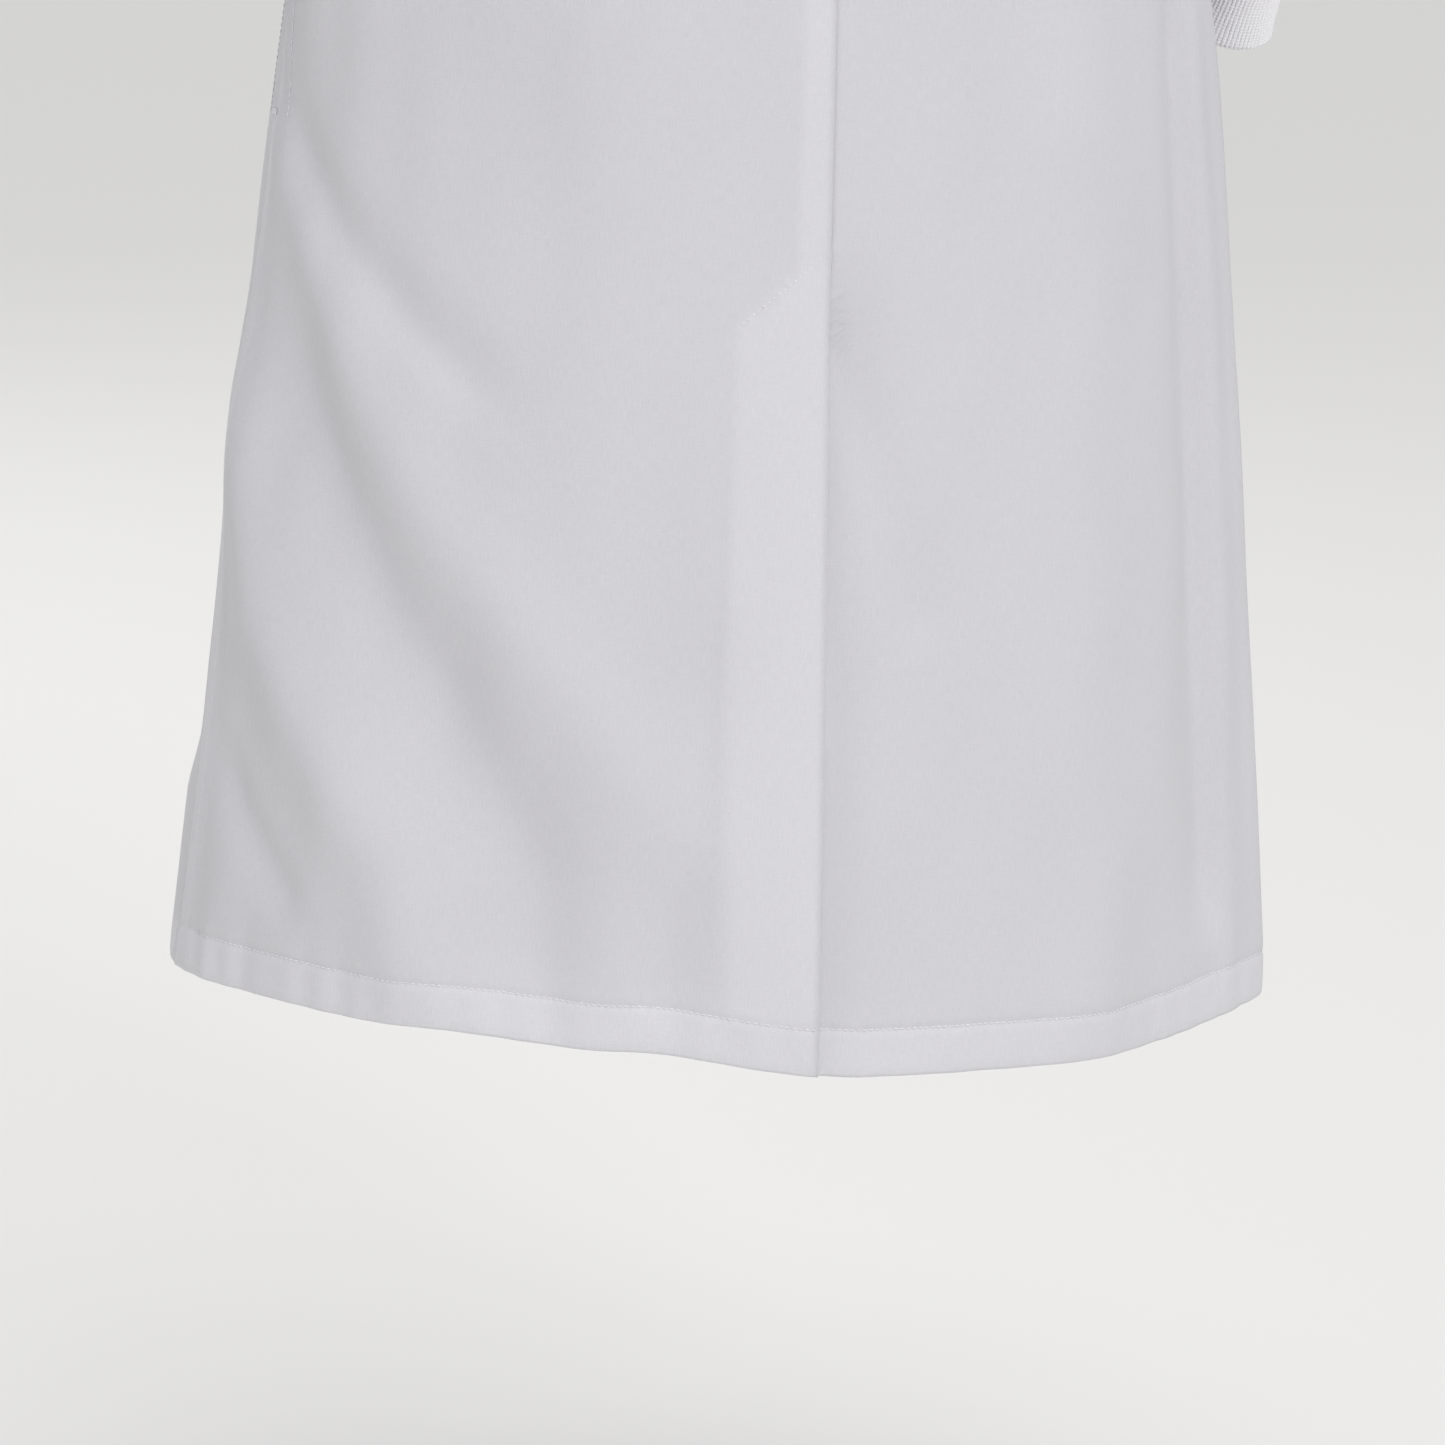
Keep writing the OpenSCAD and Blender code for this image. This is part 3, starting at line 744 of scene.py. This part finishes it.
# ---------------------------------------------------------------- pockets
def patch(name, node_name, s, x0, x1, low, high, gape):
    rows = np.linspace(low, high, 56)[:, None]
    a = np.linspace(0, 1, 48)[None, :]
    b = (rows - low) / (high - low)
    q = mix(q_of(x0, rows), q_of(x1, rows), a)
    tuck = 0.9 * ease(np.minimum(np.minimum(a, 1 - a), b) / 0.03)
    offs = 1.3 + tuck + gape * sind(180 * a) ** 0.8 * b ** 1.6
    p = surf(s * q, rows, -1, offs)
    p = p[:, ::-1] if s > 0 else p
    o = cloth(name, p)
    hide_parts(node_name)
    side_blend(s, o)

    def at(a, b):
        v = mix(low, high, np.asarray(b, float) + 0 * np.asarray(a, float))
        a = np.asarray(a, float) + 0 * v
        b = (v - low) / (high - low)
        q = mix(q_of(x0, v), q_of(x1, v), a)
        off = 1.3 + 0.9 + gape * sind(180 * a) ** 0.8 * b ** 1.6
        return line_on(s * q, v, -1, off)

    w, h = x1 - x0, (high - low) * SKIRT
    lines = []
    for m in (2.0, 8.0):
        lines += [at(m / w, np.linspace(m / h, 0.995, 70)), at(1 - m / w, np.linspace(m / h, 0.995, 70)),
                  at(np.linspace(m / w, 1 - m / w, 60), m / h)]
    lines.append(at(np.linspace(0.01, 0.99, 60), 1 - 24 / h))
    st = stitches(name.replace("cloth", "stitches"), lines)
    side_blend(s, st)


for s, side in ((1, "left"), (-1, "right")):
    patch(f"pocket_{side}_cloth", f"pocket_{side}", s, 62, 206, z_row(-770), z_row(-575), 12)
patch("breast_pocket_cloth", "breast_pocket", 1, 74, 164, 0.958, 1.27, 10)

# ---------------------------------------------------------------- collar and neck
def collar_pt(u, k):
    a = np.abs(u)
    s = np.where(u < 0, -1.0, 1.0)
    g = np.maximum(0, (a - 0.6) / 0.4)
    back = a < 0.6
    v = mix(2, 1.805, g)
    x = np.where(back, NECK_X * sind(90 * a / 0.6), roll_x(v))
    q0 = np.where(back, np.degrees(np.arcsin(np.minimum(x / TIP_X, 1))), q_of(x, v))
    q1 = np.where(back, q0 * 1.75, q0 + mix(0.75 * NECK_Q, 17, g))
    v1 = np.where(back, 2 - 0.16 * np.clip(cosd(np.minimum(90 * a / 0.6, 90)), 0, 1) ** 0.7, v - 0.03 * g)

    def at(q, v, off):
        b, fr = layer(q, v, 1, off), layer(q, v, -1, off)
        return np.where(back[..., None], b, fr)

    base = at(s * q0, np.minimum(v, 1.999), 5.6)
    edge = at(s * q1, v1, 7.6 + 2 * g)
    flat_out = edge - base
    flat_out[..., 2] = 0
    out = unit(flat_out)
    h = STAND * mix(1, 0.12, g)
    top = base.copy()
    top[..., 2] += h
    top += out
    up = np.array([0, 0, 1.0])
    return [base, mix(base, top, 0.5), top, top + 2.5 * up + 2.5 * out, top + 5 * out,
            mix(top + 5 * out, edge, 0.5) + 4 * up + 3 * out, edge][k]


def layer(q, v, f, off):
    q, v, off = np.broadcast_arrays(*(np.asarray(k, float) for k in (q, v, off)))
    return body(q, v, f) + off[..., None] * out_n(q, v, f)


def catmull(p, times, axis):
    """The grid p made finer along an axis, with a smooth curve through its points."""
    p = np.moveaxis(p, axis, 0)
    n = len(p)
    t = np.linspace(0, n - 1, (n - 1) * times + 1)
    k = np.minimum(t.astype(int), n - 2)
    w = (t - k).reshape(-1, *([1] * (p.ndim - 1)))
    ext = np.concatenate([2 * p[:1] - p[1:2], p, 2 * p[-1:] - p[-2:-1]])
    a, b, c, d = ext[k], ext[k + 1], ext[k + 2], ext[k + 3]
    out = 0.5 * (2 * b + (c - a) * w + (2 * a - 5 * b + 4 * c - d) * w ** 2
                 + (3 * b - a - 3 * c + d) * w ** 3)
    return np.moveaxis(out, 0, axis)


u = np.linspace(-1, 1, 97)
COLLAR = catmull(np.stack([collar_pt(u, k) for k in range(7)], 1), 4, 1)
for _ in range(60):
    mid = (COLLAR[:-2] + COLLAR[2:]) / 2
    outer = ease((np.arange(COLLAR.shape[1]) - 11) / 8)[None, :, None]
    COLLAR[1:-1] = mix(COLLAR[1:-1], mid, 0.5 * outer)
collar_n = grid_normals(COLLAR, False)
for name, node_name, inset in (("upper_collar_cloth", "upper_collar", 0.8),
                               ("under_collar_cloth", "under_collar", -0.8)):
    p = COLLAR + collar_n * inset
    o = cloth(name, p, thick=0.9)
    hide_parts(node_name)
    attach(o, "coat")

for name, node_name, rows, share, off, mat, slot in (
        ("neck_facing_cloth", "neck_facing", (1.8, 1.95), 0.85, -5.6, COAT, "coat_cloth"),
        ("neck_label_cloth", "neck_label", (1.83, 1.9), 0.4, -7.6, LABEL, "label")):
    v = np.linspace(*rows, 24)[:, None]
    q = np.linspace(-share, share, 40)[None, :] * NECK_Q
    p = layer(q, v, 1, off)
    o = cloth(name, p, mat=mat, thick=0.6)
    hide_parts(node_name)
    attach(o, "coat")

t = np.linspace(-1, 1, 41)[:, None]
v = np.linspace(1.912, 1.944, 6)[None, :]
p = layer(t * 0.5 * NECK_Q, v, 1, -7.6 - 9 * np.clip(cosd(90 * t), 0, 1) ** 0.6)
loop = cloth("hanger_loop_cloth", p, mat=TAPE, thick=1.2)
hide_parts("hanger_loop")
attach(loop, "coat")

# ---------------------------------------------------------------- side slits
for s, side in ((1, "left"), (-1, "right")):
    for f, where in ((1, "back"), (-1, "front")):
        v = np.linspace(z_row(-SLIT_LOW - 8), z_row(-SLIT_LOW + SLIT_LEN + 8), 60)[:, None]
        q = side_q(v) - mix(9, 0.4, np.linspace(0, 1, 10)[None, :])
        p = surf(s * q, v, f, -2.4)
        p = p if s * f > 0 else p[:, ::-1]
        o = cloth(f"slit_facing_{where}_{side}_cloth", p)
        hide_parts(f"slit_facing_{where}_{side}")
        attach(o, "coat")


def zigzag(z, s):
    """Dense stitches across one end of a slit."""
    y = np.linspace(-5.5, 5.5, 46)
    x0 = mix(CHEST_W, HEM_W, spread(z)) + ring_value(OUTWARD, s * 90) * spread(z) ** 1.3 + 1.3
    zz = z + ring_value(UPWARD, s * 90) * spread(z) ** 3 + 1.1 * np.where(np.arange(46) % 2, 1, -1)
    p = np.stack([np.full_like(y, s * x0), y, zz], -1)
    return p, np.tile([float(s), 0, 0], (46, 1))


TACK_HEIGHTS = (-SLIT_LOW - 4, -SLIT_LOW + SLIT_LEN + 4)
tacks = stitches("bar_tack_stitches", [zigzag(z, s) for s in (1, -1) for z in TACK_HEIGHTS],
                 pitch=1.1, long=1.6, thick=0.8)
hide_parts("bar_tacks")
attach(tacks, "coat")

# ---------------------------------------------------------------- stitching on the back
v_side = np.concatenate([np.linspace(z_row(-LEN + 2), z_row(-SLIT_LOW - 6), 160)])
v_high = np.linspace(z_row(-SLIT_LOW + SLIT_LEN + 6), 1.0, 50)
v_slit = np.linspace(z_row(-SLIT_LOW - 6), z_row(-SLIT_LOW + SLIT_LEN + 6), 80)
x_hem = np.linspace(2, 300, 280)
v_hem = np.full_like(x_hem, z_row(-LEN + HEM_BAND))
x_diag = np.linspace(2, FACING_W, 30)
v_diag = z_row(-VENT_TOP + 12 - x_diag * 0.85)
left_runs = [line_on(np.minimum(q_of(x_hem, v_hem), 89.5), v_hem, 1),
             line_on(np.minimum(q_of(x_diag, v_diag), 89), v_diag, 1)]
o = stitches("stitches_back_left", left_runs)
vent_blend(o)
fixed = []
for s in (1, -1):
    for inset in (3.6, 1.4):
        fixed.append(line_on(s * (side_q(v_side) - inset * 0.5), v_side, 1))
        fixed.append(line_on(s * (side_q(v_high) - inset * 0.5), v_high, 1))
    fixed.append(line_on(s * (side_q(v_slit) - 6), v_slit, 1))
    fixed.append(line_on(s * (side_q(v_slit) - 6), v_slit, -1))
    v_arm = 1 + (1 - np.cos(np.pi * np.linspace(0.03, 0.97, 90))) / 2
    for f in (1, -1):
        fixed.append(line_on(s * (edge_q(v_arm) - 2.2), v_arm, f))
x_hem = np.linspace(-UNDERLAP + 2, 300, 300)
v_hem = np.full_like(x_hem, z_row(-LEN + HEM_BAND))
q_hem = -np.minimum(q_of(x_hem, v_hem), 89.5)
fixed.append(line_on(q_hem, v_hem, 1, under_off(-x_hem, v_hem)))
o = stitches("stitches_coat", fixed)
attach(o, "coat")

# ---------------------------------------------------------------- sleeves and cuffs
ARM = [[(234.8, -318), (264, -62), 74, 2], [(240, -346), (304, -122), 74, 6],
       [(246, -372), (338, -218), 68, 14], [(252, -394), (362, -312), 61, 26]]
ELBOW = np.array([312.0, 38, -414])
FORE = [(0.25, 51, 52), (0.6, 43, 48), (0.88, 35, 42), (0.98, 30.5, 36), (1.03, 27.6, 32.8)]
FOREARM, CUFF = 108.0, 52.0


def fore_ring(d, w, h, bend, lean, a):
    axis = np.array([-0.12, -sind(bend), -cosd(bend)])
    ring = np.stack([-w * cosd(a), h * sind(a) * cosd(lean), -h * sind(a) * sind(lean)], -1)
    return ELBOW + d * axis + ring


def sleeve_grid(bend, a):
    t = (1 - cosd(a)) / 2
    behind, before = (body(edge_q(1 + t), 1 + t, f) for f in (1, -1))
    head = np.where((a <= 180)[:, None], behind, before) + [-0.4, 0, 0]
    rings = [head]
    for i, o, h, y in ARM:
        m = mix(np.array(i), np.array(o), ((1 - cosd(a)) / 2)[:, None])
        rings.append(np.stack([m[:, 0], y + h * sind(a), m[:, 1]], -1))
    rings.append(fore_ring(0, 57, 56, bend, bend / 2, a))
    rings += [fore_ring(g * FOREARM, w, h, bend, bend, a) for g, w, h in FORE]
    return catmull(np.stack(rings), 10, 0)


def crumple(n, a, bend):
    """Creases of a worn sleeve, deepest on the inside of the elbow."""
    r = np.linspace(0, 10, n)[:, None]
    a = a[None, :]
    front = np.exp(-(((a - 285 + 180) % 360 - 180) / 55) ** 2)
    elbow = np.exp(-((r - 4.9) / 1.5) ** 2)
    deep = (2.2 + bend / 14) * elbow * front * np.sin(r * 5.6 + 0.7 * sind(2 * a) + 0.4)
    spiral = 1.7 * np.sin(r * 2.3 + np.radians(a) * 1.0 + 0.8) * np.sin(np.radians(a) * 2 + r * 0.7)
    small = 0.7 * np.sin(r * 6.1 - np.radians(a) * 3 + 1.9) * np.sin(np.radians(a) * 2 - r)
    ends = ease(r / 1.2) * ease((9.6 - r) / 0.8)
    gather = 0.9 * np.sin(np.radians(a) * 26) * ease((r - 8) / 1.2) * ease((10.2 - r) / 0.4)
    return (deep + spiral + small) * ends + gather


def mirrored(p, s):
    """The grid on the left (s 1) or the right (s -1), wound the same way."""
    return p if s > 0 else p[:, ::-1] * [-1, 1, 1]


for s, side, bend in ((1, "left", 62.0), (-1, "right", 28.0)):
    angles = np.arange(0, 360, 3.0)
    g = sleeve_grid(bend, angles)
    n = grid_normals(g, True)
    n = n * np.sign((n * (g - g.mean(1, keepdims=True))).sum(-1).mean())
    p = g + n * crumple(len(g), angles, bend)[..., None]
    o = cloth(f"sleeve_{side}_cloth", mirrored(p[:, ::-1], s), round_=True)
    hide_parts(f"sleeve_{side}")
    arm_blend(s, o)

    ribs, per = 66, 6
    a = np.arange(ribs * per) * 360 / (ribs * per)
    d = np.linspace(0, 1, 27)
    w = 26 - 3 * np.sin(np.pi * d)
    h = 31 - 3 * np.sin(np.pi * d)
    g = np.stack([fore_ring(FOREARM + 1 + k * CUFF, x, y, bend, bend, a) for k, x, y in zip(d, w, h)])
    n = grid_normals(g, True)
    n = n * np.sign((n * (g - g.mean(1, keepdims=True))).sum(-1).mean())
    rib = 0.4 * np.cos(np.radians(a) * ribs)[None, :] + 0.5 * ease((d - 0.62) / 0.06)[:, None] \
        - 0.5 * ease((d - 0.97) / 0.03)[:, None]
    p = g + n * (rib + 0.4 * np.sin(d * 9)[:, None] * np.sin(np.radians(a) * 2)[None, :])[..., None]
    o = cloth(f"cuff_{side}_knit", mirrored(p[:, ::-1], s), mat=KNIT, thick=1.6, round_=True)
    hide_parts(f"cuff_{side}")
    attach(o, "left_sleeve" if s > 0 else "right_sleeve")

# ---------------------------------------------------------------- snaps stay as CAD
for o in bpy.data.objects:
    if o.type == "MESH" and o.name.startswith("snap_"):
        o.data.materials.clear()
        o.data.materials.append(CAP if o.name == "snap_caps" else METAL)

# ---------------------------------------------------------------- stage, light, camera
STAGE = material("Backdrop", (0.89, 0.882, 0.868), 0.95)
FLOOR_Z, FLOOR_HALF = -1520, 30000
corners = [(-FLOOR_HALF, -FLOOR_HALF, FLOOR_Z), (FLOOR_HALF, -FLOOR_HALF, FLOOR_Z),
           (FLOOR_HALF, FLOOR_HALF, FLOOR_Z), (-FLOOR_HALF, FLOOR_HALF, FLOOR_Z)]
mesh_object("floor", corners, [[0, 1, 2, 3]], STAGE)


LAMP_AIM_Z = -0.6


def light_direction(az, el):
    """Unit vector from the coat to a light at azimuth az and elevation el, in degrees."""
    az, el = math.radians(az), math.radians(el)
    return Vector((math.sin(az) * math.cos(el), -math.cos(az) * math.cos(el), math.sin(el)))


def place_light(data, at, location):
    o = bpy.data.objects.new(data.name, data)
    o.location = location
    o.rotation_euler = (-at).to_track_quat("-Z", "Y").to_euler()
    bpy.context.collection.objects.link(o)


def lamp(name, az, el, dist, size, power):
    d = bpy.data.lights.new(name, "AREA")
    d.shape = "DISK"
    d.size = size
    d.energy = power
    at = light_direction(az, el)
    place_light(d, at, at * dist + Vector((0, 0, LAMP_AIM_Z)))


def sun(name, az, el, spread_deg, strength):
    d = bpy.data.lights.new(name, "SUN")
    d.angle = math.radians(spread_deg)
    d.energy = strength
    place_light(d, light_direction(az, el), (0, 0, 0))


sun("Overhead", 200, 74, 40, 1.32)
lamp("Key", 190, 19, 7.0, 1.9, 126)
lamp("Fill", 112, 12, 6.0, 2.6, 30)
lamp("Front Fill", 20, 35, 6.0, 3.0, 60)
world = bpy.data.worlds.new("Studio")
bpy.context.scene.world = world
world.use_nodes = True
world.node_tree.nodes["Background"].inputs["Color"].default_value = (0.98, 0.985, 1.0, 1)
world.node_tree.nodes["Background"].inputs["Strength"].default_value = 0.36

# The angles and the lens are an outline fit's results, at a distance that was assumed
CAM_AZ, CAM_PITCH, CAM_ROLL = math.radians(163.44), math.radians(10.4), math.radians(1.99)
LENS, CAM_DIST, CAM_SIDE, CAM_Z = 135.5, 3.0, -0.002, -0.4
camera_data = bpy.data.cameras.new("Camera")
camera_data.sensor_width = 36
camera_data.lens = LENS
camera = bpy.data.objects.new("Camera", camera_data)
bpy.context.collection.objects.link(camera)
cam_back = Vector((math.sin(CAM_AZ), -math.cos(CAM_AZ), 0))
cam_right = Vector((math.cos(CAM_AZ), math.sin(CAM_AZ), 0))
forward = -cam_back * math.cos(CAM_PITCH) + Vector((0, 0, -math.sin(CAM_PITCH)))
cam_up = cam_right.cross(forward)
right2 = cam_right * math.cos(CAM_ROLL) + cam_up * math.sin(CAM_ROLL)
up2 = -cam_right * math.sin(CAM_ROLL) + cam_up * math.cos(CAM_ROLL)
basis = Matrix((right2, up2, -forward)).transposed().to_4x4()
cam_at = cam_back * CAM_DIST + cam_right * CAM_SIDE + Vector((0, 0, CAM_Z))
camera.matrix_world = Matrix.Translation(cam_at) @ basis
bpy.context.scene.camera = camera
bpy.context.scene.view_settings.view_transform = "Standard"
